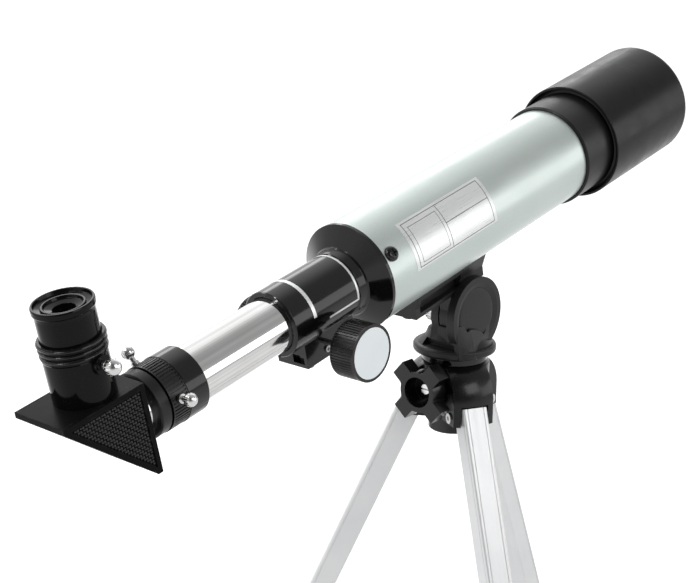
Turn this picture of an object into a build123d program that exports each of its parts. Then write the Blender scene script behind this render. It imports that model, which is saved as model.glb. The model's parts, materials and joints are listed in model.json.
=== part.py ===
from build123d import *
from math import asin, cos, degrees, pi, radians, sin, sqrt
import os

os.makedirs("parts", exist_ok=True)

# A 50 mm f/7.2 refractor with a prism diagonal, on a table tripod with an altazimuth head.
# Millimetres, +Z up, +X the way the telescope points in plan, floor at Z = 0.

# ---------------------------------------------------------------------------
# Driving dimensions
# ---------------------------------------------------------------------------

# Stance
altitude = 12.9          # aim above the horizon, degrees
leg_bearing = 2.2        # first leg's bearing from the aim, degrees
leg_splay = 23.4         # leg's angle from the vertical, degrees
leg_length = 296.0       # pivot to the end of the aluminium channel
foot_drop = 6.0          # rubber below the channel's end
leg_offset = 2.5         # channel's centre line stands outside its pivot
pan_x = 45.5             # pan axis, forward of the middle of the footprint

# Tube stations along the optical axis, from the focuser flange's front face
tube_end = 190.0
cell_rear = 177.1
hood_rear = 202.4
hood_front = 283.3
pan_station = 91.6       # where the pan axis crosses the optical axis
mouth = -60.3            # focuser's rear end
draw_front = -5.0
collar_front = -118.2
ring_front = -130.0
ring_rear = -140.0
eyepiece_station = -171.5

# Radii
tube_radius = 28.5
tube_bore = 27.5
draw_radius = 14.25      # drawtube
barrel_radius = 12.25    # 24.5 mm eyepiece standard
running_gap = 0.05       # radial clearance of a running fit

# Focus drive
pinion_station = -35.4
pinion_drop = -18.3      # pinion axis, below the optical axis
gear_module = 0.6
gear_teeth = 10
pitch_radius = gear_module * gear_teeth / 2
tooth_pitch = pi * gear_module

# Head and hub heights, from the leg pivots
pivot_reach = 21.3       # leg pivot's distance from the pan axis
hub_top = 27.5
deck_bottom = 32.6       # turning disc
deck_top = 37.7
tilt_height = 55.1
optical_height = 112.7
deck_radius = 23.4
spindle_radius = 8.0
bolt_radius = 3.0

# ---------------------------------------------------------------------------
# Frames of reference
# ---------------------------------------------------------------------------

pivot_height = (leg_length + foot_drop) * cos(radians(leg_splay)) - leg_offset * sin(radians(leg_splay))
forward = Vector(cos(radians(altitude)), 0, sin(radians(altitude)))
upward = Vector(-sin(radians(altitude)), 0, cos(radians(altitude)))
crossing = Vector(pan_x, 0, pivot_height + optical_height)


def tube_point(station, y, rise):
    """Point at a station along the tube, to the side and above its axis."""
    return crossing + forward * (station - pan_station) + Vector(0, y, 0) + upward * rise


side = Plane(origin=tube_point(0, 0, 0), x_dir=forward, z_dir=(0, -1, 0))
optical_axis = Axis(tube_point(0, 0, 0), forward)
eyepiece_axis = Axis(tube_point(eyepiece_station, 0, 0), upward)
pinion_axis = Axis(tube_point(pinion_station, 0, pinion_drop), (0, 1, 0))

head_side = Plane(origin=(pan_x, 0, pivot_height), x_dir=(1, 0, 0), z_dir=(0, -1, 0))
pan_axis = Axis((pan_x, 0, 0), (0, 0, 1))
tilt_axis = Axis((pan_x, 0, pivot_height + tilt_height), (0, 1, 0))
bearings = [leg_bearing + turn for turn in (0, 120, 240)]


def cross_section(station):
    """Plane square to the tube; local axes are +Y and up, normal forward."""
    return Plane(origin=tube_point(station, 0, 0), x_dir=(0, 1, 0), z_dir=forward)


def radial_plane(station, angle):
    """Plane on the optical axis whose normal leaves it at an angle above the -Y side."""
    outward = Vector(0, -cos(radians(angle)), 0) + upward * sin(radians(angle))
    return Plane(origin=tube_point(station, 0, 0), x_dir=forward, z_dir=outward)


def level(height):
    """Horizontal plane on the pan axis, at a height above the leg pivots."""
    return Plane(origin=(pan_x, 0, pivot_height + height))


def leg_plane(bearing):
    """Vertical plane through a leg; local axes are outward and up, from its pivot height."""
    angle = radians(bearing)
    return Plane(
        origin=(pan_x, 0, pivot_height),
        x_dir=(cos(angle), sin(angle), 0),
        z_dir=(sin(angle), -cos(angle), 0),
    )


# ---------------------------------------------------------------------------
# Shared operations
# ---------------------------------------------------------------------------


def turned(points, axis, plane=side, mode=Mode.ADD):
    """Revolve a closed outline about an axis."""
    with BuildSketch(plane) as outline:
        with BuildLine():
            Polyline(*points, close=True)
        make_face()
    revolve(outline.sketch, axis=axis, mode=mode)


def slab(points, plane, near, far, mode=Mode.ADD):
    """Extrude a closed outline between two distances along a plane's normal."""
    with BuildSketch(plane.offset(near)) as outline:
        with BuildLine():
            Polyline(*points, close=True)
        make_face()
    extrude(outline.sketch, amount=far - near, mode=mode)


def rod(centre, radius, plane, near, far, mode=Mode.ADD):
    """Round bar or hole between two distances along a plane's normal."""
    with BuildSketch(plane.offset(near)) as outline:
        with Locations(centre):
            Circle(radius)
    extrude(outline.sketch, amount=far - near, mode=mode)


def box_points(left, right, low, high):
    return [(left, low), (right, low), (right, high), (left, high)]


def grooves(centre, radius, count, width, depth, plane, near, far):
    """Straight knurling: equal grooves round a cylinder, along a plane's normal."""
    with BuildSketch(plane.offset(near)) as outline:
        with Locations(centre):
            with PolarLocations(radius, count):
                Rectangle(2 * depth, width)
    extrude(outline.sketch, amount=far - near, mode=Mode.SUBTRACT)


def cross_recess(centre, length, width, plane, floor, top):
    """Cross-shaped driver recess in a screw's head."""
    with BuildSketch(plane.offset(floor)) as outline:
        with Locations(centre):
            Rectangle(length, width)
            Rectangle(width, length)
    extrude(outline.sketch, amount=top - floor, mode=Mode.SUBTRACT)


def lens(plane, axis, back, rim, radius, back_bulge, front_bulge):
    """Round lens whose rim runs from back to back + rim; a face with no bulge is flat."""
    with BuildSketch(plane) as outline:
        with BuildLine():
            curve = (radius**2 + front_bulge**2) / (2 * front_bulge)
            spread = degrees(asin(radius / curve))
            CenterArc((back + rim + front_bulge - curve, 0), curve, 0, spread)
            Line((back + rim, radius), (back, radius))
            if back_bulge:
                curve = (radius**2 + back_bulge**2) / (2 * back_bulge)
                spread = degrees(asin(radius / curve))
                CenterArc((back - back_bulge + curve, 0), curve, 180 - spread, spread)
            else:
                Line((back, radius), (back, 0))
            Line((back - back_bulge, 0), (back + rim + front_bulge, 0))
        make_face()
    revolve(outline.sketch, axis=axis)


def write(piece, name):
    piece.part.label = name
    export_step(piece.part, "parts/" + name + ".step")


# ---------------------------------------------------------------------------
# Optical tube
# ---------------------------------------------------------------------------

tube_screw_station = 4.9
tube_screw_angles = (30.2, 150.2, 270.2)
tube_screw_radius = 1.5
saddle_screw_radius = 2.0
rear_saddle_screw = 41.0
front_saddle_screw = 84.0
cell_mouth = 218.0

with BuildPart() as main_tube:
    turned(box_points(0, tube_end, tube_bore, tube_radius), optical_axis)
    for angle in tube_screw_angles:
        rod((0, 0), tube_screw_radius + running_gap, radial_plane(tube_screw_station, angle),
            tube_bore - 2, tube_radius + 2, Mode.SUBTRACT)
    for station in (rear_saddle_screw, front_saddle_screw):
        rod((0, 0), saddle_screw_radius + running_gap, radial_plane(station, -90),
            tube_bore - 2, tube_radius + 2, Mode.SUBTRACT)
write(main_tube, "main_tube")

# The screws' heads are domes on the tube's wall.
with BuildPart() as tube_screws:
    for angle in tube_screw_angles:
        outward = radial_plane(tube_screw_station, angle)
        rod((0, 0), 4.0, outward, tube_radius, tube_radius + 2.6)
        fillet(edges().filter_by(GeomType.CIRCLE).sort_by(Axis(outward.origin, outward.z_dir))[-1], 2.4)
        cross_recess((0, 0), 4.2, 0.9, outward, tube_radius + 1.3, tube_radius + 3)
        rod((0, 0), tube_screw_radius, outward, tube_radius - 2.6, tube_radius)
write(tube_screws, "tube_screws")

seat_radius = 33.0       # cell's wide front, which the hood slides over
lens_radius = 26.0
lens_rear = 204.0
with BuildPart() as lens_cell:
    turned([
        (cell_rear, tube_radius), (cell_rear, 29.4), (cell_rear + 0.8, 30.3), (hood_rear + 2.6, 30.3),
        (hood_rear + 3.6, seat_radius), (cell_mouth, seat_radius), (cell_mouth, lens_radius + 0.1),
        (lens_rear, lens_radius + 0.1), (lens_rear, 24.0), (tube_end, 24.0), (tube_end, tube_radius),
    ], optical_axis)
write(lens_cell, "lens_cell")

lens_edge = 2.4          # thickness of the lens at its rim
with BuildPart() as objective_lens:
    lens(side, optical_axis, lens_rear + 0.1, lens_edge, lens_radius, 0.7, 2.4)
write(objective_lens, "objective_lens")

with BuildPart() as lens_retaining_ring:
    turned(box_points(lens_rear + 2.9, lens_rear + 5.9, 24.2, lens_radius), optical_axis)
write(lens_retaining_ring, "lens_retaining_ring")

# One light stop, halfway along the tube.
with BuildPart() as tube_baffle:
    turned(box_points(118.0, 119.2, 16.0, tube_bore), optical_axis)
write(tube_baffle, "tube_baffle")

hood_gap = 0.08          # the hood slides on the cell's seat
mouth_radius = 33.7      # counterbore that a dust cap pushes into
mouth_depth = 15.0
with BuildPart() as lens_hood:
    turned([
        (hood_rear, seat_radius + hood_gap), (hood_rear, 34.1), (hood_rear + 0.5, 34.5),
        (hood_front - 1.6, 34.7), (hood_front, 34.4), (hood_front, mouth_radius),
        (hood_front - mouth_depth, mouth_radius), (hood_front - mouth_depth, seat_radius + hood_gap),
    ], optical_axis)
write(lens_hood, "lens_hood")

# ---------------------------------------------------------------------------
# Focuser: flange, sleeve and pinion housing in one moulding
# ---------------------------------------------------------------------------

sleeve_radius = 17.2
box_rear, box_front = -50.0, -14.0
box_half = 10.0
box_bottom = -27.0
cover_top = -25.0
gear_half_width = 4.8
shaft_radius = 1.5
rack_half_width = 2.5
cover_screw_radius = 1.0
cover_screws_at = [(x, y) for x in (box_rear + 4, box_rear + 23) for y in (-7.6, 7.6)]
tension_screw_at = (-35.1, -22.6)
tension_screw_radius = 0.9

with BuildPart() as focuser_body:
    bore = draw_radius + running_gap
    turned([
        (mouth, bore + 0.6), (mouth, sleeve_radius - 0.4), (mouth + 0.5, sleeve_radius),
        (-14.5, sleeve_radius), (-13.6, 17.8), (-9.0, 18.3), (-8.0, 18.9), (-2.4, 28.0), (-1.9, 28.8),
        (0, 28.8), (0, tube_bore), (12, tube_bore), (12, 25.9), (1.5, 25.9), (-6.5, bore),
        (mouth + 0.6, bore),
    ], optical_axis)
    slab(box_points(box_rear, box_front, cover_top, -10), side, -box_half, box_half)
    rod((0, 0), bore, cross_section(box_rear - 1), 0, box_front - box_rear + 2, Mode.SUBTRACT)
    # Channel for the rack, and the pinion's chamber below it
    slab(box_points(mouth - 1, 1, -17.0, 0), side, -rack_half_width - 0.7, rack_half_width + 0.7,
         Mode.SUBTRACT)
    slab(box_points(pinion_station - 5.2, pinion_station + 5.2, cover_top - 1, 0), side,
         -gear_half_width - 0.6, gear_half_width + 0.6, Mode.SUBTRACT)
    rod((pinion_station, pinion_drop), shaft_radius + running_gap, side, -box_half - 1, box_half + 1,
        Mode.SUBTRACT)
    # Weight-saving pocket in the housing's rear face
    slab(box_points(box_rear - 1, box_rear + 2.4, cover_top - 1, -20.4), side, 0.6, box_half - 1.8,
         Mode.SUBTRACT)
    for x, y in cover_screws_at:
        rod((0, y), cover_screw_radius + running_gap, radial_plane(x, -90).offset(-cover_top), -3.6, 1,
            Mode.SUBTRACT)
    for end in (-1, 1):
        rod(tension_screw_at, tension_screw_radius + running_gap, side, end * 6.4, end * 11, Mode.SUBTRACT)
    for angle in tube_screw_angles:
        rod((0, 0), tube_screw_radius + running_gap, radial_plane(tube_screw_station, angle), 24, 29,
            Mode.SUBTRACT)
write(focuser_body, "focuser_body")

with BuildPart() as pinion_cover:
    slab(box_points(box_rear, -20.5, box_bottom, cover_top), side, -box_half, box_half)
    for x, y in cover_screws_at:
        rod((0, y), cover_screw_radius + running_gap, radial_plane(x, -90), -cover_top - 1,
            -box_bottom + 1, Mode.SUBTRACT)
write(pinion_cover, "pinion_cover")

with BuildPart() as cover_screws:
    for x, y in cover_screws_at:
        downward = radial_plane(x, -90)
        rod((0, y), 1.9, downward, -box_bottom, -box_bottom + 0.9)
        cross_recess((0, y), 2.2, 0.5, downward, -box_bottom + 0.4, -box_bottom + 1)
        rod((0, y), cover_screw_radius, downward, -cover_top - 3.4, -box_bottom)
write(cover_screws, "cover_screws")

with BuildPart() as tension_screws:
    for end in (-1, 1):
        rod(tension_screw_at, 1.7, side, end * box_half, end * (box_half + 0.9))
        cross_recess(tension_screw_at, 2.0, 0.5, side, end * (box_half + 0.4), end * (box_half + 1))
        rod(tension_screw_at, tension_screw_radius, side, end * 6.6, end * box_half)
write(tension_screws, "tension_screws")

# ---------------------------------------------------------------------------
# Saddle under the tube, with the ear that the head clamps
# ---------------------------------------------------------------------------

saddle_rear, saddle_front = 34.0, 95.0
saddle_bottom = -39.3
saddle_half = 9.8
ear_radius = 15.5
ear_near, ear_far = 0.6, 9.4      # ear's faces, towards -Y from the tube's middle
tilt_drop = tilt_height - optical_height
ear_station = pan_station + tilt_drop * sin(radians(altitude))
ear_rise = tilt_drop * cos(radians(altitude))

with BuildPart() as saddle:
    slab([(-saddle_half, saddle_bottom), (saddle_half, saddle_bottom), (saddle_half, -33.5), (13, -26),
          (13, -20), (-13, -20), (-13, -26), (-saddle_half, -33.5)],
         cross_section(saddle_rear), 0, saddle_front - saddle_rear)
    rod((0, 0), tube_radius, cross_section(saddle_rear), -1, saddle_front - saddle_rear + 1, Mode.SUBTRACT)
    # A pocket in each side lightens the middle.
    for end in (-1, 1):
        slab(box_points(saddle_rear + 4, ear_station - 5, saddle_bottom + 2.4, -29.2), side, end * 5.6,
             end * 16, Mode.SUBTRACT)
    rod((ear_station, ear_rise), ear_radius, side, ear_near, ear_far)
    slab(box_points(ear_station - 13.6, ear_station + 13.6, ear_rise, saddle_bottom), side, ear_near, ear_far)
    rod((ear_station, ear_rise), bolt_radius + running_gap, side, ear_near - 1, ear_far + 1, Mode.SUBTRACT)
    for station in (rear_saddle_screw, front_saddle_screw):
        rod((0, 0), saddle_screw_radius + running_gap, radial_plane(station, -90), 20, 36.4, Mode.SUBTRACT)
    rod((0, 0), saddle_screw_radius + running_gap, radial_plane(rear_saddle_screw, -90), 20, 42,
        Mode.SUBTRACT)
write(saddle, "saddle")

# One screw comes up from below, the other down from inside the tube.
with BuildPart() as saddle_screws:
    downward = radial_plane(rear_saddle_screw, -90)
    rod((0, 0), 5.0, downward, -saddle_bottom, -saddle_bottom + 2.8)
    fillet(edges().filter_by(GeomType.CIRCLE).sort_by(Axis(downward.origin, downward.z_dir))[-1], 1.6)
    cross_recess((0, 0), 4.4, 0.9, downward, -saddle_bottom + 1.5, -saddle_bottom + 3)
    rod((0, 0), saddle_screw_radius, downward, 26.0, -saddle_bottom)
    downward = radial_plane(front_saddle_screw, -90)
    rod((0, 0), 3.4, downward, 24.9, 27.2)
    rod((0, 0), saddle_screw_radius, downward, 27.2, 36.0)
write(saddle_screws, "saddle_screws")

# ---------------------------------------------------------------------------
# Focus pinion and its two knobs
# ---------------------------------------------------------------------------

knob_near, knob_far = 25.6, 39.9
knob_radius = 14.4
knob_ribs = 60
cap_radius = 12.8


def gear_outline():
    """Straight-sided teeth, thin enough to run free in the rack."""
    points = []
    for tooth in range(gear_teeth):
        middle = pi / 2 + tooth * 2 * pi / gear_teeth
        for radius, half in ((2.15, -0.6), (3.0, -0.38), (3.42, -0.2), (3.42, 0.2), (3.0, 0.38), (2.15, 0.6)):
            angle = middle + half / radius
            points.append((pinion_station + radius * cos(angle), pinion_drop + radius * sin(angle)))
    return points


with BuildPart() as pinion_shaft:
    rod((pinion_station, pinion_drop), shaft_radius, side, -38.4, 38.4)
    slab(gear_outline(), side, -gear_half_width, gear_half_width)
write(pinion_shaft, "pinion_shaft")

for hand, name in ((1, "focus_knob_near"), (-1, "focus_knob_far")):
    with BuildPart() as focus_knob:
        centre = (pinion_station, pinion_drop)
        rod(centre, knob_radius, side, hand * knob_near, hand * knob_far)
        grooves(centre, knob_radius, knob_ribs, 0.8, 0.5, side, hand * (knob_near + 0.6),
                hand * (knob_far - 1.0))
        rod(centre, 6.5, side, hand * (knob_near - 4.6), hand * knob_near)
        rod(centre, cap_radius, side, hand * (knob_far - 0.8), hand * (knob_far + 1), Mode.SUBTRACT)
        rod(centre, shaft_radius, side, hand * 15, hand * 38.4, Mode.SUBTRACT)
    write(focus_knob, name)

with BuildPart() as focus_knob_caps:
    for hand in (1, -1):
        rod((pinion_station, pinion_drop), cap_radius, side, hand * (knob_far - 0.8), hand * (knob_far + 0.1))
write(focus_knob_caps, "focus_knob_caps")

# ---------------------------------------------------------------------------
# Drawtube, rack and the collars on its rear end
# ---------------------------------------------------------------------------

draw_rear = -125.0
collar_radius = 16.65
ring_radius = 16.4
rack_rear, rack_front = -113.6, -7.0
rack_line = pinion_drop + pitch_radius
collar_screw_station = -134.9
collar_screw_angles = (8.5, 128.5, 248.5)
thumb_screw_radius = 1.5

with BuildPart() as drawtube:
    turned(box_points(draw_rear, draw_front, draw_radius - 1, draw_radius), optical_axis)
write(drawtube, "drawtube")


def rack_outline():
    """Teeth hang below the drawtube, with a space above the pinion's upright tooth."""
    first = int((rack_rear - pinion_station) / tooth_pitch) + 1
    last = int((rack_front - pinion_station) / tooth_pitch) - 1
    points = [(rack_rear, -13.0), (rack_rear, rack_line + 0.55)]
    for tooth in range(first, last):
        middle = pinion_station + (tooth + 0.5) * tooth_pitch
        points += [(middle - 0.56, rack_line + 0.55), (middle - 0.2, rack_line - 0.5),
                   (middle + 0.2, rack_line - 0.5), (middle + 0.56, rack_line + 0.55)]
    return points + [(rack_front, rack_line + 0.55), (rack_front, -13.0)]


with BuildPart() as rack:
    slab(rack_outline(), side, -rack_half_width, rack_half_width)
    rod((0, 0), draw_radius, cross_section(rack_rear), -1, rack_front - rack_rear + 1, Mode.SUBTRACT)
write(rack, "rack")

with BuildPart() as end_collar:
    turned([
        (collar_front, draw_radius), (collar_front, collar_radius - 0.4),
        (collar_front - 0.4, collar_radius), (ring_front + 0.1, collar_radius),
        (ring_front + 0.1, barrel_radius + 0.6), (draw_rear, barrel_radius + 0.6), (draw_rear, draw_radius),
    ], optical_axis)
write(end_collar, "end_collar")

with BuildPart() as adapter_ring:
    turned(box_points(ring_rear, ring_front, barrel_radius + running_gap, ring_radius), optical_axis)
    grooves((0, 0), ring_radius, 60, 0.85, 0.45, cross_section(ring_rear), 0.5, 9.5)
    for angle in collar_screw_angles:
        outward = radial_plane(collar_screw_station, angle)
        rod((0, 0), thumb_screw_radius + running_gap, outward, 10, 18, Mode.SUBTRACT)
        rod((0, 0), 3.0, outward, 15.9, 18, Mode.SUBTRACT)
write(adapter_ring, "adapter_ring")


def thumb_screw(outward, tip, shoulder, head_centre, head_radius):
    """Clamp screw: shank, round shoulder and a knurled ball for the fingers."""
    rod((0, 0), thumb_screw_radius, outward, tip, head_centre)
    rod((0, 0), 2.2, outward, shoulder, shoulder + 1.6)
    with Locations(outward.offset(head_centre).location):
        Sphere(head_radius)
    grooves((0, 0), head_radius, 16, 0.5, 0.3, outward, head_centre - 0.55 * head_radius,
            head_centre + 0.55 * head_radius)


for letter, angle in zip("abc", collar_screw_angles):
    with BuildPart() as collar_screw:
        thumb_screw(radial_plane(collar_screw_station, angle), 12.55, 16.3, 23.0, 3.2)
    write(collar_screw, "collar_screw_" + letter)

# ---------------------------------------------------------------------------
# Prism diagonal
# ---------------------------------------------------------------------------

housing_front, housing_rear = -152.8, -196.8
housing_top, housing_bottom = 19.4, -25.0
tip_cut = 2.8            # blunt ends of the housing's two sharp corners
housing_half = 14.9
panel_outer = 16.5
prism_leg = 31.8
housing_wall = 2.6
holder_rise = 47.85
screw_rise = 36.5
holder_screw_angle = 84.5

with BuildPart() as diagonal_barrel:
    turned([
        (housing_front, 11.4), (-120.0, 11.4), (-120.0, barrel_radius - 0.3), (-120.3, barrel_radius),
        (housing_front, barrel_radius),
    ], optical_axis)
write(diagonal_barrel, "diagonal_barrel")

with BuildPart() as diagonal_flange:
    turned([
        (-147.0, barrel_radius), (-147.0, 15.0), (-146.2, 16.0), (-141.0, 16.0), (ring_rear - 0.4, 15.5),
        (ring_rear - 0.4, barrel_radius),
    ], optical_axis)
write(diagonal_flange, "diagonal_flange")


housing_outline = [
    (housing_front, housing_top), (housing_rear, housing_top), (housing_rear, housing_top - tip_cut),
    (housing_front - tip_cut, housing_bottom), (housing_front, housing_bottom),
]


def inner_triangle(inset):
    """Sharp triangle inside the housing's outline, the same distance from its three sides."""
    slope = housing_rear + housing_top - tip_cut + sqrt(2) * inset
    left = housing_front - inset
    top = housing_top - inset
    return [(left, top), (slope - top, top), (left, slope - left)]


with BuildPart() as prism_housing:
    slab(housing_outline, side, -housing_half, housing_half)
    slab(inner_triangle(housing_wall), side, -13.2, 13.2, Mode.SUBTRACT)
    rod((0, 0), 11.4, cross_section(housing_front - 3.5), 0, 5, Mode.SUBTRACT)
    rod((0, 0), 11.8, Plane(origin=tube_point(eyepiece_station, 0, 15), x_dir=forward, z_dir=upward), 0, 6,
        Mode.SUBTRACT)
write(prism_housing, "prism_housing")

for hand, name in ((1, "side_panel_near"), (-1, "side_panel_far")):
    with BuildPart() as side_panel:
        slab(housing_outline, side, hand * housing_half, hand * panel_outer)
        slab(inner_triangle(2.4), side, hand * (panel_outer - 0.7), hand * (panel_outer + 1), Mode.SUBTRACT)
    write(side_panel, name)

with BuildPart() as prism:
    corner_x, corner_z = inner_triangle(housing_wall)[0]
    slab([(corner_x, corner_z), (corner_x - prism_leg, corner_z), (corner_x, corner_z - prism_leg)], side,
         -12.8, 12.8)
write(prism, "prism")

# Bent leaf that holds the prism in its corner
with BuildPart() as prism_spring:
    slab([(-187.1, 11.3), (-171.6, 1.1), (-160.3, -15.5), (-160.6, -15.8), (-172.0, 0.7), (-187.4, 11.0)],
         side, -6, 6)
write(prism_spring, "prism_spring")

screw_turn = radians(holder_screw_angle)
holder_screw_plane = Plane(
    origin=tube_point(eyepiece_station, 0, screw_rise),
    x_dir=upward,
    z_dir=forward * cos(screw_turn) + Vector(0, -sin(screw_turn), 0),
)
eyepiece_plane = Plane(origin=tube_point(eyepiece_station, 0, 0), x_dir=forward, z_dir=upward)

with BuildPart() as eyepiece_holder:
    rings = [
        (12.3, housing_top), (14.0, housing_top), (14.1, 39.4), (14.5, 40.2), (14.5, 42.4), (14.0, 42.7),
        (14.0, 43.2), (14.6, 43.4), (14.6, 44.8), (14.1, 45.1), (14.1, 45.6), (14.8, 45.9),
        (14.8, holder_rise - 0.4), (14.5, holder_rise), (13.3, holder_rise), (13.3, 44.0), (12.3, 44.0),
    ]
    turned([(eyepiece_station + r, rise) for r, rise in rings], eyepiece_axis)
    rod((0, 0), 4.4, holder_screw_plane, 11, 16.2)
    rod((0, 0), barrel_radius + running_gap, eyepiece_plane, 18, 43.9, Mode.SUBTRACT)
    rod((0, 0), thumb_screw_radius + running_gap, holder_screw_plane, 8, 18, Mode.SUBTRACT)
write(eyepiece_holder, "eyepiece_holder")

with BuildPart() as holder_screw:
    thumb_screw(holder_screw_plane, 12.6, 16.4, 21.4, 3.8)
write(holder_screw, "holder_screw")

# ---------------------------------------------------------------------------
# Eyepiece
# ---------------------------------------------------------------------------

eyepiece_top = 63.6
eyepiece_side = Plane(origin=tube_point(eyepiece_station, 0, 0), x_dir=upward, z_dir=(0, 1, 0))

with BuildPart() as eyepiece_barrel:
    wall = [
        (11.4, 20.8), (barrel_radius - 0.3, 20.8), (barrel_radius, 21.1), (barrel_radius, 50.0),
        (11.4, 50.0), (11.4, 31.4), (8.2, 31.0), (8.2, 30.6), (11.4, 30.2),
    ]
    turned([(eyepiece_station + r, rise) for r, rise in wall], eyepiece_axis)
write(eyepiece_barrel, "eyepiece_barrel")

with BuildPart() as eyepiece_body:
    shell = [
        (barrel_radius, 44.2), (13.0, 44.2), (13.0, 58.8), (13.3, 60.4), (13.75, 61.0), (13.75, 63.0),
        (13.4, eyepiece_top), (12.7, eyepiece_top), (12.2, 62.0), (9.8, 61.5), (9.5, 62.3), (8.7, 62.3),
        (8.2, 61.0), (5.0, 60.2), (5.0, 57.0), (8.6, 57.0), (8.6, 50.2), (barrel_radius, 50.2),
    ]
    turned([(eyepiece_station + r, rise) for r, rise in shell], eyepiece_axis)
write(eyepiece_body, "eyepiece_body")

with BuildPart() as eye_lens:
    lens(eyepiece_side, eyepiece_axis, 53.0, 2.0, 8.5, 0, 1.7)
write(eye_lens, "eye_lens")

with BuildPart() as field_lens:
    lens(eyepiece_side, eyepiece_axis, 43.0, 1.6, 11.3, 0, 2.5)
write(field_lens, "field_lens")

# ---------------------------------------------------------------------------
# Head: yoke on a turning disc, with the tilt bolt and knob
# ---------------------------------------------------------------------------

cheek_radius = 22.0
cheek_near, cheek_inner = 15.3, 10.3     # faces of the near cheek, towards -Y
far_inner, far_outer = -0.3, -5.3
far_radius = 15.5
washer_radius = 9.0
cover_radius = 11.2
cover_seat = 12.6
seat_depth = 2.5
dish_depth = 1.0         # shallow dish in the near cheek's face
tilt_centre = (0, tilt_height)

# Local axes are towards -Y and down, from the tilt axis.
cheek_profile = Plane(origin=(pan_x, 0, pivot_height + tilt_height), x_dir=(0, -1, 0), z_dir=(1, 0, 0))

with BuildPart() as pan_yoke:
    rod((0, 0), deck_radius, level(deck_bottom), 0, deck_top - deck_bottom)
    fillet(edges().filter_by(GeomType.CIRCLE), 1.8)
    # Low cone under the fork, open at front and back
    turned([(0, deck_top - 0.5), (21.4, deck_top - 0.5), (16.6, 41.4), (15.2, 45.0), (0, 45.0)], pan_axis,
           head_side)
    rod(tilt_centre, cheek_radius, head_side, cheek_inner, cheek_near)
    fillet(edges().filter_by(GeomType.CIRCLE).sort_by(Axis.Y)[0], 2.2)
    turned([
        (cheek_near + 1, 0), (cheek_near + 1, 19.4), (cheek_near, 18.6), (cheek_near - dish_depth, 14.6),
        (cheek_near - dish_depth, 0),
    ], tilt_axis, cheek_profile, Mode.SUBTRACT)
    rod(tilt_centre, far_radius, head_side, far_outer, far_inner)
    slab([(-13.4, 52), (-17.0, 38), (17.0, 38), (13.4, 52)], head_side, far_outer, far_inner)
    slab(box_points(-15.4, 15.4, 38, 51), head_side, far_inner, cheek_inner)
    # The near cheek's foot flares out to the disc's rim, behind the pan axis.
    with BuildSketch(level(deck_bottom + 0.6)) as foot_low:
        with BuildLine():
            Polyline((12.4, -15.0), (-9.4, -22.3), (-17.4, -16.4), (-16.8, -11.0), close=True)
        make_face()
    with BuildSketch(level(deck_bottom + 19.4)) as foot_high:
        with BuildLine():
            Polyline((12.0, -15.1), (-7.0, -15.25), (-19.0, -15.1), (-19.0, -11.0), close=True)
        make_face()
    loft([foot_low.sketch.face(), foot_high.sketch.face()], ruled=True)
    rod(tilt_centre, ear_radius + 0.8, head_side, far_inner, cheek_inner, Mode.SUBTRACT)
    for end in (-1, 1):
        slab([(end * 26, deck_top), (end * 26, 41.4), (end * 13.6, 41.4), (end * 13.6, deck_top)], head_side,
             -8.5, 13.0, Mode.SUBTRACT)
    rod(tilt_centre, cover_seat, head_side, cheek_near - seat_depth, cheek_near + 1, Mode.SUBTRACT)
    rod(tilt_centre, bolt_radius, head_side, far_outer - 1, cheek_near, Mode.SUBTRACT)
write(pan_yoke, "pan_yoke")

# Hexagon head under the cover, shank through cheeks and ear to the clamp knob
bolt_head = cheek_near - seat_depth
with BuildPart() as tilt_bolt:
    with BuildSketch(head_side.offset(bolt_head)) as head_outline:
        with Locations(tilt_centre):
            RegularPolygon(5.2, 6)
    extrude(head_outline.sketch, amount=1.8)
    rod(tilt_centre, bolt_radius, head_side, -15.0, bolt_head)
write(tilt_bolt, "tilt_bolt")

with BuildPart() as tilt_cover:
    rod(tilt_centre, cover_radius, head_side, bolt_head, cheek_near + 0.4)
    fillet(edges().filter_by(GeomType.CIRCLE).sort_by(Axis.Y)[0], 1.9)
    rod(tilt_centre, 6.2, head_side, bolt_head, bolt_head + 2.0, Mode.SUBTRACT)
write(tilt_cover, "tilt_cover")

with BuildPart() as tilt_washers:
    for near in (far_inner, ear_far + 0.15):
        rod(tilt_centre, washer_radius, head_side, near, near + 0.75)
        rod(tilt_centre, bolt_radius, head_side, near - 1, near + 2, Mode.SUBTRACT)
write(tilt_washers, "tilt_washers")

with BuildPart() as tilt_knob:
    rod(tilt_centre, 5.0, head_side, -7.4, far_outer - 0.3)
    rod(tilt_centre, 8.5, head_side, -16.4, -7.4)
    fillet(edges().filter_by(GeomType.CIRCLE).sort_by(Axis.Y)[-1], 1.2)
    grooves(tilt_centre, 8.5, 24, 1.1, 0.5, head_side, -15.0, -7.4)
    rod(tilt_centre, bolt_radius + running_gap, head_side, -15.2, 0, Mode.SUBTRACT)
write(tilt_knob, "tilt_knob")

stud_radius = 4.0
spindle_foot = 4.4
with BuildPart() as pan_spindle:
    rod((0, 0), spindle_radius, level(spindle_foot), 0, deck_bottom - spindle_foot)
    rod((0, 0), stud_radius, level(-5.0), 0, spindle_foot + 5.0)
write(pan_spindle, "pan_spindle")

with BuildPart() as spindle_nut:
    rod((0, 0), 11.0, level(spindle_foot - 2.4), 0, 2.4)
    with BuildSketch(level(-3.2)) as nut_outline:
        RegularPolygon(7.4, 6)
    extrude(nut_outline.sketch, amount=spindle_foot - 2.4 + 3.2)
    rod((0, 0), stud_radius, level(-4), 0, 10, Mode.SUBTRACT)
write(spindle_nut, "spindle_nut")

# ---------------------------------------------------------------------------
# Tripod hub
# ---------------------------------------------------------------------------

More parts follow.
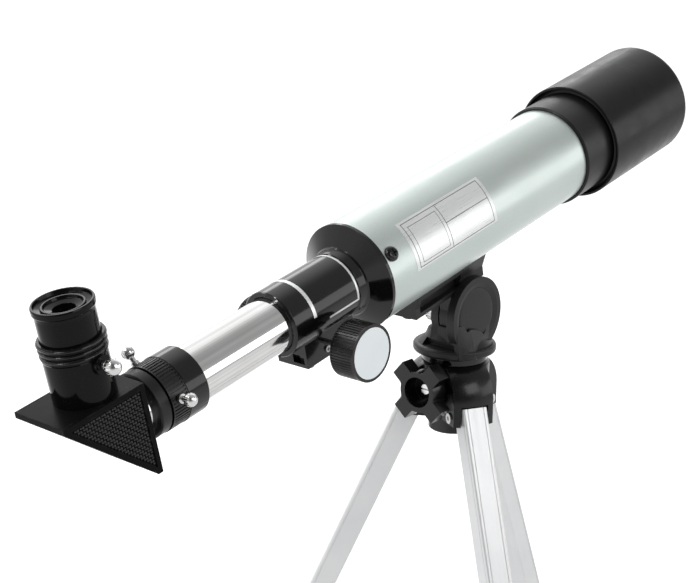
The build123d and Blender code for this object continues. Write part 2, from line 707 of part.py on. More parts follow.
hub_radius = 29.2
cheeks_bottom = -3.9
core_bottom = 4.7
core_radius = 20.0
clevis_half = 12.0
slot_half = 8.2
slot_top = 7.7
knob_height = 15.2
knob_screw_radius = 2.0
knob_back = 21.9         # pan-lock knob's inner end, from the pan axis
socket_radius = 13.7
socket_bore = 11.6
socket_bottom = -13.5
back_plane = Plane(origin=(pan_x, 0, pivot_height + knob_height), x_dir=(0, -1, 0), z_dir=(-1, 0, 0))

with BuildPart() as hub_shell:
    with BuildSketch(head_side) as dome_outline:
        with BuildLine():
            ThreePointArc((18.4, hub_top), (25.5, 20.9), (hub_radius, 9.7))
            Polyline(
                (hub_radius, 9.7), (hub_radius, cheeks_bottom), (socket_radius, cheeks_bottom),
                (socket_radius, core_bottom), (spindle_radius + running_gap, core_bottom),
                (spindle_radius + running_gap, hub_top), (18.4, hub_top),
            )
        make_face()
    revolve(dome_outline.sketch, axis=pan_axis)
    # Three forked arms stay, with the round core between them.
    for bottom, top, core in ((core_bottom, hub_top + 1, core_radius), (cheeks_bottom - 1, core_bottom, 0)):
        with BuildSketch(level(bottom)) as between_arms:
            Circle(hub_radius + 5)
            if core:
                Circle(core, mode=Mode.SUBTRACT)
            with PolarLocations(hub_radius / 2 + 5, 3, start_angle=leg_bearing):
                Rectangle(hub_radius + 10, 2 * clevis_half, mode=Mode.SUBTRACT)
        extrude(between_arms.sketch, amount=top - bottom, mode=Mode.SUBTRACT)
    for bearing in bearings:
        slab(box_points(socket_radius, hub_radius + 2, cheeks_bottom - 1, slot_top), leg_plane(bearing),
             -slot_half, slot_half, Mode.SUBTRACT)
        rod((pivot_reach, 0), 2.0 + running_gap, leg_plane(bearing), -clevis_half - 1, clevis_half + 1,
            Mode.SUBTRACT)
    # Boss for the pan lock
    rod((0, 0), 8.0, back_plane, core_radius - 3, knob_back - 0.7)
    rod((0, 0), knob_screw_radius + running_gap, back_plane, spindle_radius, core_radius + 5, Mode.SUBTRACT)
    rod((0, 0), 4.0, back_plane, spindle_radius - 2, spindle_radius + 4.6, Mode.SUBTRACT)
    rod((0, 0), spindle_radius + running_gap, level(0), 0, hub_top + 1, Mode.SUBTRACT)
write(hub_shell, "hub_shell")

with BuildPart() as centre_socket:
    turned(box_points(socket_bore, socket_radius, socket_bottom, core_bottom), pan_axis, head_side)
    chamfer(edges().filter_by(GeomType.CIRCLE).sort_by(Axis.Z)[:2], 0.6)
write(centre_socket, "centre_socket")

with BuildPart() as socket_cap:
    rod((0, 0), socket_bore, level(socket_bottom + 0.8), 0, 2.2)
write(socket_cap, "socket_cap")

with BuildPart() as neck_ring:
    turned(box_points(spindle_radius + 0.6, 18.4, hub_top, 32.0), pan_axis, head_side)
    fillet(edges().filter_by(GeomType.CIRCLE).group_by(SortBy.RADIUS)[-1], 0.9)
write(neck_ring, "neck_ring")

with BuildPart() as pan_washer:
    turned(box_points(spindle_radius + 0.6, 17.0, 32.0, deck_bottom - 0.15), pan_axis, head_side)
write(pan_washer, "pan_washer")

with BuildPart() as brake_shoe:
    rod((0, 0), 3.9, back_plane, spindle_radius + 0.3, spindle_radius + 4.2)
write(brake_shoe, "brake_shoe")

# ---------------------------------------------------------------------------
# Pan-lock knob: four lobes round a deep open hub
# ---------------------------------------------------------------------------

lobes_inner, knob_outer = 25.2, 33.5
lobe_reach = 18.0
knob_floor = knob_back + 1.7
with BuildPart() as star_knob:
    with BuildSketch(back_plane.offset(lobes_inner)) as star_outline:
        Circle(11.5)
        with Locations(Rotation(0, 0, 49)):
            with PolarLocations(lobe_reach / 2, 4):
                Rectangle(lobe_reach, 10.0)
        fillet(star_outline.vertices().group_by(lambda v: round(Vector(*v).length))[0], 2.0)
    extrude(star_outline.sketch, amount=knob_outer - lobes_inner)
    rod((0, 0), 11.2, back_plane, knob_back, lobes_inner + 1)
    rod((0, 0), 8.6, back_plane, knob_floor, knob_outer + 1, Mode.SUBTRACT)
    rod((0, 0), knob_screw_radius, back_plane, knob_back - 1, knob_outer, Mode.SUBTRACT)
write(star_knob, "star_knob")

with BuildPart() as star_knob_screw:
    rod((0, 0), knob_screw_radius, back_plane, spindle_radius + 4.5, knob_floor)
    rod((0, 0), 2.9, back_plane, knob_floor, knob_floor + 2.4)
    slab(box_points(-4.0, 4.0, -0.4, 0.4), back_plane, knob_floor + 1.5, knob_floor + 3, Mode.SUBTRACT)
write(star_knob_screw, "star_knob_screw")

# ---------------------------------------------------------------------------
# Legs
# ---------------------------------------------------------------------------

leg_width = 14.5
leg_depth = 13.8
leg_wall = 1.1
leg_corner = 1.2
channel_top = 3.4        # channel's end above the pivot
foot_length = 24.0
foot_wall = 1.8
trim_groove = 0.5        # fine grooves beside the extrusion's outer edges
trim_depth = 0.3
trim_inset = 2.4

with BuildPart() as leg_rivets:
    for bearing in bearings:
        across = leg_plane(bearing)
        rod((pivot_reach, 0), 2.0, across, -clevis_half, clevis_half)
        for end in (-1, 1):
            rod((pivot_reach, 0), 3.0, across, end * clevis_half, end * (clevis_half + 0.9))
            rod((pivot_reach, 0), 1.2, across, end * (clevis_half - 0.6), end * (clevis_half + 2),
                Mode.SUBTRACT)
write(leg_rivets, "leg_rivets")


trim_on_face = [(end * (leg_width / 2 - trim_inset), leg_depth / 2) for end in (-1, 1)]
trim_on_sides = [(end * leg_width / 2, leg_depth / 2 - trim_inset) for end in (-1, 1)]


def leg_section(bearing, distance):
    """Plane square to a leg, at a distance down from its pivot, centred on its channel."""
    angle = radians(bearing)
    splay = radians(leg_splay)
    outward = Vector(cos(angle), sin(angle), 0)
    down = outward * sin(splay) - Vector(0, 0, cos(splay))
    across = outward * cos(splay) + Vector(0, 0, sin(splay))
    pivot = Vector(pan_x, 0, pivot_height) + outward * pivot_reach
    return Plane(
        origin=pivot + down * distance + across * leg_offset,
        x_dir=Vector(-sin(angle), cos(angle), 0),
        z_dir=down,
    )


for name, bearing in zip(("front", "left", "right"), bearings):
    with BuildPart() as leg_channel:
        with BuildSketch(leg_section(bearing, -channel_top)) as channel_outline:
            RectangleRounded(leg_width, leg_depth, leg_corner)
            Rectangle(leg_width - 2 * leg_wall, leg_depth - 2 * leg_wall, mode=Mode.SUBTRACT)
            with Locations(*trim_on_face):
                Rectangle(trim_groove, 2 * trim_depth, mode=Mode.SUBTRACT)
            with Locations(*trim_on_sides):
                Rectangle(2 * trim_depth, trim_groove, mode=Mode.SUBTRACT)
        extrude(channel_outline.sketch, amount=leg_length + channel_top)
        rod((pivot_reach, 0), 2.0 + running_gap, leg_plane(bearing), -clevis_half, clevis_half, Mode.SUBTRACT)
    write(leg_channel, "leg_channel_" + name)

    with BuildPart() as leg_foot:
        with BuildSketch(leg_section(bearing, leg_length - foot_length)) as foot_outline:
            RectangleRounded(leg_width + 2 * foot_wall, leg_depth + 2 * foot_wall, leg_corner + 1.6)
        extrude(foot_outline.sketch, amount=foot_length + foot_drop + 10)
        split(bisect_by=Plane.XY, keep=Keep.TOP)
        with BuildSketch(leg_section(bearing, leg_length - foot_length)) as pocket_outline:
            RectangleRounded(leg_width, leg_depth, leg_corner)
        extrude(pocket_outline.sketch, amount=foot_length, mode=Mode.SUBTRACT)
    write(leg_foot, "leg_foot_" + name)
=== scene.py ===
import json
from math import cos, pi, radians, sin

import bpy
from mathutils import Matrix, Vector


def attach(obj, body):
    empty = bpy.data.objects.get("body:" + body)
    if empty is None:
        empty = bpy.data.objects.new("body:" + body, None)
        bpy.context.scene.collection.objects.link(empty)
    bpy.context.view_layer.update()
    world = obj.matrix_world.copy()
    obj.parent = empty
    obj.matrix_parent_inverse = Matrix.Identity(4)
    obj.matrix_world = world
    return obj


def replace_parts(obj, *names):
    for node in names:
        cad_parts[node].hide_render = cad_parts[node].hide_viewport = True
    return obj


# Looks of the table telescope. Metres, in the CAD model's frame.

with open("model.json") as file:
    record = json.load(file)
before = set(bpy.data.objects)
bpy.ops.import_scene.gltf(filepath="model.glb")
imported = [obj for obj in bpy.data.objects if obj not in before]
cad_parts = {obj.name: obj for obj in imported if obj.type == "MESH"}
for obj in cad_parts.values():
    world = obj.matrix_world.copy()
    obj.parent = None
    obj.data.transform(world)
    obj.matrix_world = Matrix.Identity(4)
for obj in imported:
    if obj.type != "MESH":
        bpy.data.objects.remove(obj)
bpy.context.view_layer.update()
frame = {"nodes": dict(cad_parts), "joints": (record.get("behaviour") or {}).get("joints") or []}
nodes = frame["nodes"]
joints = {joint["name"]: joint for joint in frame["joints"]}

MM = 0.001

# ---------------------------------------------------------------------------
# The telescope's own directions, from its joints
# ---------------------------------------------------------------------------

FORWARD = Vector(joints["hood_slide"]["axis"])
UPWARD = Vector(joints["eyepiece_slide"]["axis"])
COLLAR = Vector(joints["diagonal_turn"]["pos_m"])
SIDEWAYS = Vector((0, 1, 0))
VERTICAL = Vector((0, 0, 1))

# Millimetres along the optical axis, from the focuser flange's front face
COLLAR_STATION = -140.4
EYEPIECE_STATION = -171.5
PAN_STATION = 91.6

LEGS = ("front", "left", "right")
LEG_SPLAY = 23.4  # degrees from the vertical


def on_tube(station, y, rise):
    """Point at a station along the tube, to the side and above its axis, from millimetres."""
    return COLLAR + (FORWARD * (station - COLLAR_STATION) + Vector((0, y, 0)) + UPWARD * rise) * MM


def round_tube(station, angle, radius):
    """Point on a cylinder round the optical axis; the angle starts at the -Y side and goes up."""
    return on_tube(station, -radius * cos(radians(angle)), radius * sin(radians(angle)))


# ---------------------------------------------------------------------------
# Materials
# ---------------------------------------------------------------------------


def add_node(tree, kind, inputs=None, **settings):
    """New node with these settings, each input linked to a socket or set to a value."""
    node = tree.nodes.new(kind)
    for key, value in settings.items():
        setattr(node, key, value)
    for key, value in (inputs or {}).items():
        if isinstance(value, bpy.types.NodeSocket):
            tree.links.new(value, node.inputs[key])
        else:
            node.inputs[key].default_value = value
    return node


class Finish:
    """
    A node material that starts from a Principled shader and the object's own coordinates.

    Scales are per metre: a noise of scale 1000 has grains of about a millimetre.
    """

    def __init__(self, name, **sockets):
        self.material = bpy.data.materials.new(name)
        self.material.use_nodes = True
        self.tree = self.material.node_tree
        self.shader = self.tree.nodes["Principled BSDF"]
        for socket, value in sockets.items():
            self.shader.inputs[socket.replace("_", " ")].default_value = value
        self.place = self.add("ShaderNodeTexCoord").outputs["Object"]

    def add(self, kind, inputs=None, **settings):
        return add_node(self.tree, kind, inputs, **settings)

    def turned_place(self, axis, stretch):
        """Coordinates whose X runs along an axis of the object, scaled on each axis."""
        turn = Vector(axis).to_track_quat("X", "Z").inverted().to_euler()
        first = self.add("ShaderNodeMapping", {"Vector": self.place, "Rotation": turn})
        return self.add("ShaderNodeMapping", {"Vector": first.outputs[0], "Scale": stretch}).outputs[0]

    def noise(self, scale, detail, place=None):
        inputs = {"Vector": place or self.place, "Scale": scale, "Detail": detail, "Roughness": 0.55}
        return self.add("ShaderNodeTexNoise", inputs).outputs["Fac"]

    def between(self, value, low, high, start=0.3, end=0.7):
        """Low where the value is at start, high where it's at end; most noise lies from 0.3 to 0.7."""
        inputs = {"Value": value, "From Min": start, "From Max": end, "To Min": low, "To Max": high}
        return self.add("ShaderNodeMapRange", inputs).outputs["Result"]

    def mix(self, factor, first, second):
        return self.add("ShaderNodeMix", {0: factor, 6: first, 7: second}, data_type="RGBA").outputs[2]

    def drift(self, scale, detail, first, second):
        """Colour that wanders between two in soft patches."""
        return self.mix(self.between(self.noise(scale, detail), 0.0, 1.0), first, second)

    def colour(self, value):
        self.tree.links.new(value, self.shader.inputs["Base Color"])

    def roughness(self, value):
        self.tree.links.new(value, self.shader.inputs["Roughness"])

    def bump(self, height, strength, distance, normal=None):
        inputs = {"Height": height, "Strength": strength, "Distance": distance}
        if normal:
            inputs["Normal"] = normal
        return self.add("ShaderNodeBump", inputs).outputs["Normal"]

    def normal(self, value):
        self.tree.links.new(value, self.shader.inputs["Normal"])

    def soft_edges(self, radius):
        """Normals rounded off along the edges, as a moulding or casting has them."""
        return self.add("ShaderNodeBevel", {"Radius": radius}, samples=4).outputs["Normal"]

    def edge_wear(self, radius, amount):
        """Mask of the sharp edges, broken up by noise, that reaches the amount."""
        sharp, flush = 0.80, 0.985  # cosines between the rounded normal and the face's own
        rounded = self.soft_edges(radius)
        flat = self.add("ShaderNodeNewGeometry").outputs["Normal"]
        across = self.add("ShaderNodeVectorMath", {0: rounded, 1: flat}, operation="DOT_PRODUCT")
        edge = self.between(across.outputs["Value"], 1.0, 0.0, sharp, flush)
        patchy = self.between(self.noise(260.0, 5.0), 0.0, amount, 0.48, 0.70)
        return self.add("ShaderNodeMath", {0: edge, 1: patchy}, operation="MULTIPLY").outputs[0]


def grey(level, warmth=0.0):
    """Grey with its red raised and its blue lowered by the warmth."""
    return (level * (1 + warmth), level, level * (1 - warmth), 1.0)


def silver_enamel():
    """Metallic paint: fine flake under a clear coat, with a grey-green cast."""
    flake_share = 0.07
    f = Finish("silver_enamel", Metallic=0.72, Coat_Weight=0.35, Coat_Roughness=0.22)
    flake = f.add("ShaderNodeTexVoronoi", {"Vector": f.place, "Scale": 4200.0}).outputs["Color"]
    paint = f.drift(14.0, 4.0, (0.62, 0.70, 0.67, 1), (0.68, 0.755, 0.725, 1))
    f.colour(f.mix(flake_share, paint, flake))
    smears = f.noise(1.0, 6.0, f.turned_place(FORWARD, (18.0, 130.0, 130.0)))
    f.roughness(f.between(smears, 0.36, 0.47, 0.35, 0.7))
    f.normal(f.bump(f.noise(2600.0, 2.0), 0.10, 0.00004))
    return f.material


def moulded_black(name, level, rough, wear, grain=1500.0, depth=0.00005, coat=0.0, edge=0.0005,
                  shine=0.35):
    """Black plastic with a fine moulded grain, soft edges and a little polish where it's handled."""
    f = Finish(name, Coat_Weight=coat, Coat_Roughness=0.08, Specular_IOR_Level=shine)
    worn = f.edge_wear(radius=edge * 1.4, amount=wear)
    body = f.drift(45.0, 4.0, grey(level), grey(level * 1.35, 0.02))
    f.colour(f.mix(worn, body, grey(0.10, 0.01)))
    f.roughness(f.between(f.noise(90.0, 6.0), rough - 0.05, rough + 0.07))
    f.normal(f.bump(f.noise(grain, 3.0), 0.35, depth, f.soft_edges(edge)))
    return f.material


def glossy_black(name="glossy_black", rough=0.13, coat=0.25, shine=0.4):
    """Polished black moulding: slight waviness, a few hairline scratches and dust."""
    f = Finish(name, Coat_Weight=coat, Coat_Roughness=0.04, Specular_IOR_Level=shine)
    dust = f.between(f.noise(1400.0, 2.0), 0.0, 0.25, 0.66, 0.80)
    f.colour(f.mix(dust, grey(0.005), grey(0.12, 0.03)))
    scratches = f.noise(1.0, 8.0, f.turned_place(FORWARD, (70.0, 1300.0, 1300.0)))
    f.roughness(f.between(scratches, rough, rough + 0.14, 0.58, 0.75))
    f.normal(f.bump(f.noise(120.0, 2.0), 0.10, 0.00025, f.soft_edges(0.0004)))
    return f.material


def bright_metal(name, level, rough, axis, lines=2700.0, painted_reflection_streaks=0.0):
    """Plated or turned metal: faint lines round its axis, a drifting polish, and painted reflection streaks,
    which are darker bands of colour along the axis.
    """
    f = Finish(name, Metallic=1.0)
    turned = f.noise(1.0, 3.0, f.turned_place(axis, (lines, 12.0, 12.0)))
    haze = f.noise(60.0, 5.0)
    streaks = f.noise(1.0, 5.0, f.turned_place(axis, (5.0, 650.0, 650.0)))
    polish = f.mix(f.between(haze, 0.0, 1.0), grey(level), grey(level * 0.93, 0.01))
    # Painted reflection: the colour darkens in streaks along the axis, standing in for reflected dark
    # streaks
    f.colour(f.mix(f.between(streaks, 0.0, painted_reflection_streaks, 0.42, 0.66), polish, grey(level * 0.55, 0.01)))
    f.roughness(f.between(haze, rough, rough + 0.07))
    f.normal(f.bump(turned, 0.05, 0.00003, f.soft_edges(0.0002)))
    return f.material


def leg_metal(name, axis):
    """Satin anodised extrusion with fine drawn lines along the leg."""
    f = Finish(name, Metallic=0.45)
    lines = f.noise(1.0, 6.0, f.turned_place(axis, (9.0, 2600.0, 2600.0)))
    f.colour(f.drift(30.0, 4.0, (0.84, 0.85, 0.86, 1), (0.91, 0.915, 0.92, 1)))
    f.roughness(f.between(lines, 0.34, 0.47, 0.35, 0.65))
    f.normal(f.bump(lines, 0.16, 0.00004, f.soft_edges(0.00025)))
    return f.material


def rubber():
    """Matt rubber, scuffed lighter in patches."""
    f = Finish("foot_rubber", Sheen_Weight=0.15)
    f.colour(f.drift(70.0, 5.0, grey(0.022), grey(0.045, 0.04)))
    f.roughness(f.between(f.noise(240.0, 4.0), 0.68, 0.88))
    f.normal(f.bump(f.noise(1900.0, 4.0), 0.5, 0.0001, f.soft_edges(0.0008)))
    return f.material


def light_plastic(name, low, high, rough):
    """Pale plastic with a fine grain."""
    f = Finish(name)
    f.colour(f.drift(50.0, 4.0, low, high))
    f.roughness(f.between(f.noise(180.0, 4.0), rough, rough + 0.12))
    f.normal(f.bump(f.noise(2200.0, 3.0), 0.2, 0.00005))
    return f.material


def coated_glass(name, tint):
    """Lens glass with a thin coloured coating and a trace of dust."""
    f = Finish(name, Transmission_Weight=1.0, IOR=1.52, Coat_Weight=0.6, Coat_Roughness=0.02, Coat_Tint=tint)
    dust = f.between(f.noise(900.0, 3.0), 0.0, 0.16, 0.62, 0.85)
    f.colour(f.mix(dust, (0.93, 0.96, 0.97, 1), (0.75, 0.75, 0.74, 1)))
    f.roughness(f.between(f.noise(500.0, 5.0), 0.0, 0.05, 0.5, 0.8))
    return f.material


def foil():
    """Brushed silver foil."""
    f = Finish("foil", Metallic=0.55)
    lines = f.noise(1.0, 5.0, f.turned_place(FORWARD, (60.0, 2400.0, 2400.0)))
    f.colour(f.drift(40.0, 3.0, (0.87, 0.89, 0.89, 1), (0.95, 0.96, 0.96, 1)))
    f.roughness(f.between(lines, 0.26, 0.42, 0.35, 0.65))
    f.normal(f.bump(lines, 0.12, 0.00003))
    return f.material


def ink():
    """Black print, slightly uneven."""
    f = Finish("label_ink")
    f.colour(f.drift(700.0, 3.0, grey(0.02), grey(0.07)))
    f.roughness(f.between(f.noise(300.0, 3.0), 0.4, 0.6))
    f.normal(f.bump(f.noise(2500.0, 2.0), 0.2, 0.00002))
    return f.material


materials = {
    "enamel": silver_enamel(),
    "satin": moulded_black("satin_black", 0.007, 0.36, wear=0.2),
    "housing": moulded_black("housing_black", 0.005, 0.30, wear=0.5, shine=0.05),
    "hood": moulded_black("hood_black", 0.005, 0.31, grain=2200.0, depth=0.00003, wear=0.15, shine=0.24),
    "head": moulded_black("head_black", 0.013, 0.40, grain=1200.0, depth=0.00008, wear=0.4),
    "hub": moulded_black("hub_black", 0.006, 0.24, depth=0.00004, wear=0.3, coat=0.15),
    "ribbed": moulded_black("ribbed_black", 0.006, 0.26, wear=0.5, edge=0.00012, shine=0.5),
    "gloss": glossy_black(),
    "deep_gloss": glossy_black("deep_gloss_black", rough=0.10, coat=0.04, shine=0.14),
    # The drawtube's chrome carries painted dark reflection streaks in its colour
    "tube_chrome": bright_metal("tube_chrome", 0.90, 0.05, FORWARD, painted_reflection_streaks=0.42),
    "upright_chrome": bright_metal("upright_chrome", 0.86, 0.05, UPWARD),
    "small_chrome": bright_metal("small_chrome", 0.86, 0.19, SIDEWAYS),
    "steel": bright_metal("steel", 0.50, 0.28, SIDEWAYS, lines=5400.0),
    "rubber": rubber(),
    "cap": light_plastic("cap_grey", (0.89, 0.95, 0.97, 1), (0.93, 0.98, 1.0, 1), 0.30),
    "nylon": light_plastic("nylon", (0.60, 0.59, 0.54, 1), (0.66, 0.65, 0.60, 1), 0.45),
    "black_screw": glossy_black("black_screw", rough=0.18),
    "weave": moulded_black("weave_black", 0.010, 0.24, wear=0.9, edge=0.00010, shine=0.6),
    "glass": coated_glass("coated_glass", (0.45, 0.62, 1.0, 1)),
    "foil": foil(),
    "ink": ink(),
}
for leg in LEGS:
    outward = Vector(joints["leg_fold_" + leg]["axis"]).cross(VERTICAL)
    down = outward * sin(radians(LEG_SPLAY)) - VERTICAL * cos(radians(LEG_SPLAY))
    materials["leg_" + leg] = leg_metal("leg_metal_" + leg, down)

finish_of_node = {
    "main_tube": "enamel", "tube_screws": "black_screw", "lens_cell": "satin", "objective_lens": "glass",
    "lens_retaining_ring": "satin", "tube_baffle": "satin", "focuser_body": "gloss",
    "pinion_cover": "gloss", "cover_screws": "steel", "tension_screws": "steel", "saddle": "head",
    "saddle_screws": "black_screw", "lens_hood": "hood", "pinion_shaft": "steel",
    "focus_knob_near": "ribbed", "focus_knob_far": "ribbed", "focus_knob_caps": "cap",
    "drawtube": "tube_chrome", "rack": "nylon", "end_collar": "gloss", "adapter_ring": "ribbed",
    "collar_screw_a": "small_chrome", "collar_screw_b": "small_chrome", "collar_screw_c": "small_chrome",
    "diagonal_barrel": "tube_chrome", "diagonal_flange": "satin", "prism_housing": "housing",
    "side_panel_near": "housing", "side_panel_far": "housing", "prism": "glass", "prism_spring": "steel",
    "eyepiece_holder": "deep_gloss", "holder_screw": "small_chrome", "eyepiece_body": "deep_gloss",
    "eyepiece_barrel": "upright_chrome", "eye_lens": "glass", "field_lens": "glass",
    "hub_shell": "hub", "centre_socket": "hub", "socket_cap": "hub", "neck_ring": "gloss",
    "pan_washer": "nylon", "leg_rivets": "small_chrome", "brake_shoe": "nylon", "star_knob": "hub",
    "star_knob_screw": "small_chrome", "pan_yoke": "head", "pan_spindle": "steel",
    "spindle_nut": "steel", "tilt_cover": "head", "tilt_bolt": "steel", "tilt_washers": "nylon",
    "tilt_knob": "small_chrome",
}
for leg in LEGS:
    finish_of_node["leg_channel_" + leg] = "leg_" + leg
    finish_of_node["leg_foot_" + leg] = "rubber"
for node, finish in finish_of_node.items():
    slots = nodes[node].data.materials
    slots.clear()
    slots.append(materials[finish])

# ---------------------------------------------------------------------------
# Pieces that only Blender adds
# ---------------------------------------------------------------------------


def piece(name, vertices, faces, material, body, slot, smooth=True):
    """Mesh piece with a material, that rides on a body. The slot argument is not used."""
    mesh = bpy.data.meshes.new(name)
    mesh.from_pydata([tuple(v) for v in vertices], [], faces)
    mesh.materials.append(materials[material])
    mesh.polygons.foreach_set("use_smooth", [smooth] * len(mesh.polygons))
    mesh.update()
    made = bpy.data.objects.new(name, mesh)
    bpy.context.scene.collection.objects.link(made)
    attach(made, body)
    return made


FACET_DEGREES = 2
TUBE_RADIUS = 28.5
PRINT_RADIUS = 28.6
SLEEVE_LINE_RADIUS = 17.22
DEGREES_PER_MM = 360 / (2 * pi * PRINT_RADIUS)


def curved_sheet(patches, radius, thickness):
    """Thin closed sheets on a cylinder round the optical axis, from (station, angle) rectangles."""
    vertices, faces = [], []
    for s0, s1, a0, a1 in patches:
        steps = max(2, int(abs(a1 - a0) / FACET_DEGREES) + 1)
        rows = []
        for i in range(steps + 1):
            angle = a0 + (a1 - a0) * i / steps
            row = [round_tube(s, angle, r) for s, r in (
                (s0, radius), (s0, radius + thickness), (s1, radius + thickness), (s1, radius))]
            rows.append(range(len(vertices), len(vertices) + 4))
            vertices += row
        for low, high in zip(rows, rows[1:]):
            faces += [(low[k], low[(k + 1) % 4], high[(k + 1) % 4], high[k]) for k in range(4)]
        faces += [tuple(reversed(rows[0])), tuple(rows[-1])]
    return vertices, faces


def outline(s0, s1, a0, a1, width):
    """Four thin strips along the edges of a (station, angle) rectangle."""
    turn = DEGREES_PER_MM * width
    along = [(s0, s1, a0, a0 + turn), (s0, s1, a1 - turn, a1)]
    return along + [(s0, s0 + width, a0, a1), (s1 - width, s1, a0, a1)]


# Foil plate on the tube
plate = [(19.0, 88.3, -1.2, 53.5)]
sheet = curved_sheet(plate, TUBE_RADIUS, thickness=0.12)
piece("foil_plate", *sheet, "foil", "optical_tube", "bright_ring", smooth=False)

# Its printed lines: a frame, a box at the rear end, and two rules
rules = outline(21.4, 85.9, 0.7, 50.6, 0.35)
rules += outline(24.4, 47.0, 4.2, 44.6, 0.25)
rules += [(49.2, 49.55, 1.4, 49.9), (49.55, 85.55, 27.4, 28.1)]
sheet = curved_sheet(rules, PRINT_RADIUS, thickness=0.05)
piece("foil_plate_rules", *sheet, "ink", "optical_tube", "black_screws", smooth=False)

# Silver lines: two round the focuser's sleeve and one along it
bands = [(-15.6, -13.9, -12.4, 192.4), (-47.4, -45.3, 4.0, 176.0), (-36.7, -15.5, -12.4, -8.8)]
sheet = curved_sheet(bands, SLEEVE_LINE_RADIUS, thickness=0.10)
piece("sleeve_lines", *sheet, "foil", "optical_tube", "bright_ring", smooth=False)


def weave(name, side):
    """Basket weave that fills a side panel's recess: short ridges, each turned from its neighbours."""
    front, top, slant = -155.7, 16.5, -177.6  # the recess's two straight edges and its sloping one
    floor_height, crown_height = 15.78, 16.36
    count, pitch, groove = 31, 1.45, 0.12
    flank, end = pitch * 0.34, pitch * 0.12
    vertices, faces = [], []
    for i in range(count):
        for j in range(count):
            s0 = front - pitch * (i + 1)
            z0 = top - pitch * (j + 1)
            if s0 + z0 < slant:
                continue
            s1, z1 = s0 + pitch - groove, z0 + pitch - groove
            across, along = (flank, end) if (i + j) % 2 else (end, flank)
            base = len(vertices)
            corners = [(s0, z0), (s1, z0), (s1, z1), (s0, z1)]
            crown = [(s0 + across, z0 + along), (s1 - across, z0 + along), (s1 - across, z1 - along),
                     (s0 + across, z1 - along)]
            vertices += [on_tube(s, side * floor_height, z) for s, z in corners]
            vertices += [on_tube(s, side * crown_height, z) for s, z in crown]
            for k in range(4):
                n = (k + 1) % 4
                faces.append((base + k, base + n, base + 4 + n, base + 4 + k))
            faces.append(tuple(base + 4 + k for k in range(4)))
            faces.append(tuple(base + k for k in reversed(range(4))))
    piece(name, vertices, faces, "weave", "diagonal", "satin_black", smooth=False)


def cheek_cover():
    """Crowned cover in the near cheek's dish: flush at the top, proud of its groove low in front."""
    steps = 96
    lean, low_side = 0.34, radians(-42)
    rim, crown, back = 15.2, 15.35, 14.25
    from_tilt_axis = Vector((-0.9, 0, 0.9)) * MM
    centre = Vector(joints["tilt"]["pos_m"]) + from_tilt_axis
    # Radius and distance from the middle plane, from the crown out and over the rim to the back
    profile = [(3.0, 15.34), (7.0, 15.32), (11.0, 15.27), (13.6, 15.20), (14.7, 15.10), (15.05, 14.95),
               (rim, 14.70), (rim, back)]
    vertices = [centre - Vector((0, crown, 0)) * MM, centre - Vector((0, back, 0)) * MM]
    for radius, height in profile:
        tip = 0.0 if height == back else lean
        for i in range(steps):
            turn = 2 * pi * i / steps
            proud = height + tip * cos(turn - low_side) * radius / rim
            vertices.append(centre + Vector((radius * cos(turn), -proud, radius * sin(turn))) * MM)
    ring = [range(2 + steps * k, 2 + steps * (k + 1)) for k in range(len(profile))]
    faces = []
    for i in range(steps):
        j = (i + 1) % steps
        faces += [(0, ring[0][i], ring[0][j]), (1, ring[-1][j], ring[-1][i])]
        faces += [(low[i], high[i], high[j], low[j]) for low, high in zip(ring, ring[1:])]
    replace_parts(piece("cheek_cover", vertices, faces, "head", "pan_head", "head_black"), "tilt_cover")


def holder_beads():
    """Rounded beads on the eyepiece holder's three rings, each a radius and a rise above the axis."""
    beads = ((14.1, 41.3), (14.2, 44.1), (14.4, 46.7))
    around, across, thick = 144, 16, 0.72
    vertices, faces = [], []
    for radius, rise in beads:
        base = len(vertices)
        for i in range(around):
            turn = 2 * pi * i / around
            for k in range(across):
                lift = 2 * pi * k / across
                reach = radius + thick * cos(lift)
                vertices.append(on_tube(EYEPIECE_STATION + reach * cos(turn), reach * sin(turn),
                                        rise + thick * sin(lift)))
                a, b = base + i * across, base + (i + 1) % around * across
                faces.append((a + k, b + k, b + (k + 1) % across, a + (k + 1) % across))
    piece("holder_beads", vertices, faces, "gloss", "diagonal", "gloss_black")


holder_beads()
cheek_cover()
weave("panel_weave_near", -1)
weave("panel_weave_far", 1)

# ---------------------------------------------------------------------------
# Stage, light and camera
# ---------------------------------------------------------------------------

# Each part of the surroundings that differs from the level: its direction, the cosines from that
# direction where its effect starts and is full, and what it adds to the light
SURROUND_LEVEL = 0.38
SURROUNDINGS = (
    ((0.62, 0.75, 0.30), 0.35, 0.80, 0.72),
    ((-0.70, -0.60, 0.40), 0.55, 0.92, -0.30),
    ((-0.88, 0.40, 0.20), 0.50, 0.90, 0.36),
    ((0.0, 0.0, -1.0), 0.0, 0.22, 0.42),
)

# Each lamp's name, place, aim, width, height and power
LAMPS = (
    ("right", (1.0, -1.25, 0.62), (0, 0, 0.38), 1.5, 0.66, 4.6),
    ("front", (-0.12, -1.35, 0.98), (0, 0, 0.20), 0.8, 0.7, 5.0),
    ("rim", (0.9, 1.1, 1.15), (0, 0, 0.40), 1.2, 0.4, 3.0),
    ("left", (-0.60, 1.05, 1.30), (-0.20, 0, 0.38), 0.24, 0.7, 3.0),
    ("rings", (-1.36, 0.32, 1.61), (-0.20, 0, 0.42), 0.16, 0.9, 7.0),
)


def floor():
    """Pale floor. It neither lights the telescope nor shows in it: the surroundings do both."""
    half = 9.0
    corners = [(-half, -half, 0), (half, -half, 0), (half, half, 0), (-half, half, 0)]
    mesh = bpy.data.meshes.new("floor")
    mesh.from_pydata(corners, [], [(0, 1, 2, 3)])
    f = Finish("floor", Roughness=0.8, Emission_Color=(1, 1, 1, 1), Emission_Strength=0.62)
    f.colour(f.drift(3.0, 3.0, grey(0.86), grey(0.88)))
    mesh.materials.append(f.material)
    made = bpy.data.objects.new("floor", mesh)
    bpy.context.scene.collection.objects.link(made)
    made.visible_glossy = False
    made.visible_diffuse = False


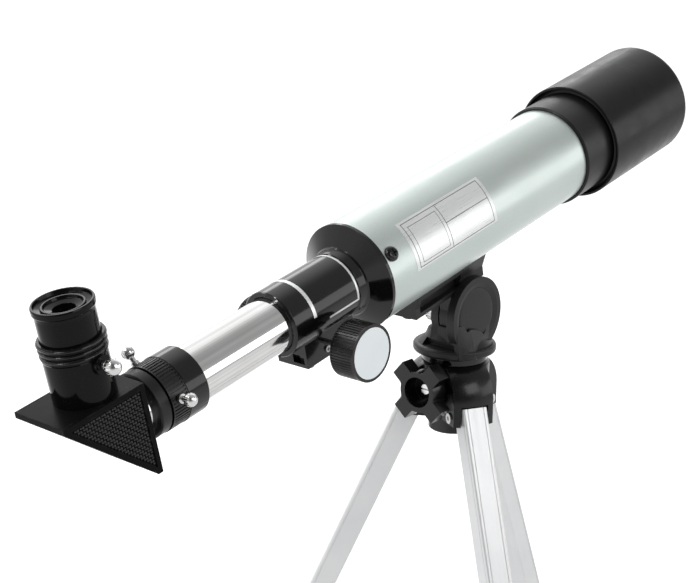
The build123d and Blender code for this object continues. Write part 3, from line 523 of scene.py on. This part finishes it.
def softbox(name, position, aim, width, height, power):
    """Rectangular lamp that faces the point it's aimed at."""
    light = bpy.data.lights.new(name, "AREA")
    light.shape = "RECTANGLE"
    light.size, light.size_y, light.energy = width, height, power
    made = bpy.data.objects.new(name, light)
    made.location = position
    made.rotation_mode = "QUATERNION"
    made.rotation_quaternion = (Vector(aim) - Vector(position)).to_track_quat("-Z", "Y")
    bpy.context.scene.collection.objects.link(made)


def studio():
    """White surroundings: bright at the far side, the left and below, and dark behind the camera."""
    world = bpy.data.worlds.new("studio")
    bpy.context.scene.world = world
    world.use_nodes = True
    tree = world.node_tree
    background = tree.nodes["Background"]
    background.inputs["Color"].default_value = (1, 1, 1, 1)
    direction = add_node(tree, "ShaderNodeTexCoord").outputs["Generated"]
    level = SURROUND_LEVEL
    for toward, start, end, amount in SURROUNDINGS:
        centre = Vector(toward).normalized()
        near = add_node(tree, "ShaderNodeVectorMath", {0: direction, 1: centre}, operation="DOT_PRODUCT")
        inputs = {"Value": near.outputs["Value"], "From Min": start, "From Max": end, "To Min": 0.0,
                  "To Max": amount}
        part = add_node(tree, "ShaderNodeMapRange", inputs, interpolation_type="SMOOTHSTEP").outputs[0]
        level = add_node(tree, "ShaderNodeMath", {0: level, 1: part}, operation="ADD").outputs[0]
    # Seen by the camera itself, the surroundings are plain white
    seen = add_node(tree, "ShaderNodeLightPath").outputs["Is Camera Ray"]
    strength = add_node(tree, "ShaderNodeMix", {0: seen, 2: level, 3: 1.0}).outputs[0]
    tree.links.new(strength, background.inputs["Strength"])


def camera():
    """The photograph's viewpoint: above the tube, behind it and to its right, looking down."""
    data = bpy.data.cameras.new("camera")
    data.lens, data.sensor_width = 73.67, 36.0
    data.clip_start, data.clip_end = 0.05, 60.0
    made = bpy.data.objects.new("camera", data)
    right = Vector((0.65748, -0.75344, 0.00766))
    ahead = Vector((0.72874, 0.63328, -0.26057))
    above = right.cross(ahead)
    turn = Matrix((right, above, -ahead)).transposed().to_4x4()
    from_pan_axis = Vector((-0.6213, -0.4616, 0.1613))
    made.matrix_world = Matrix.Translation(on_tube(PAN_STATION, 0, 0) + from_pan_axis) @ turn
    bpy.context.scene.collection.objects.link(made)
    bpy.context.scene.camera = made


floor()
studio()
for lamp in LAMPS:
    softbox(*lamp)
camera()
bpy.context.scene.view_settings.view_transform = "Standard"
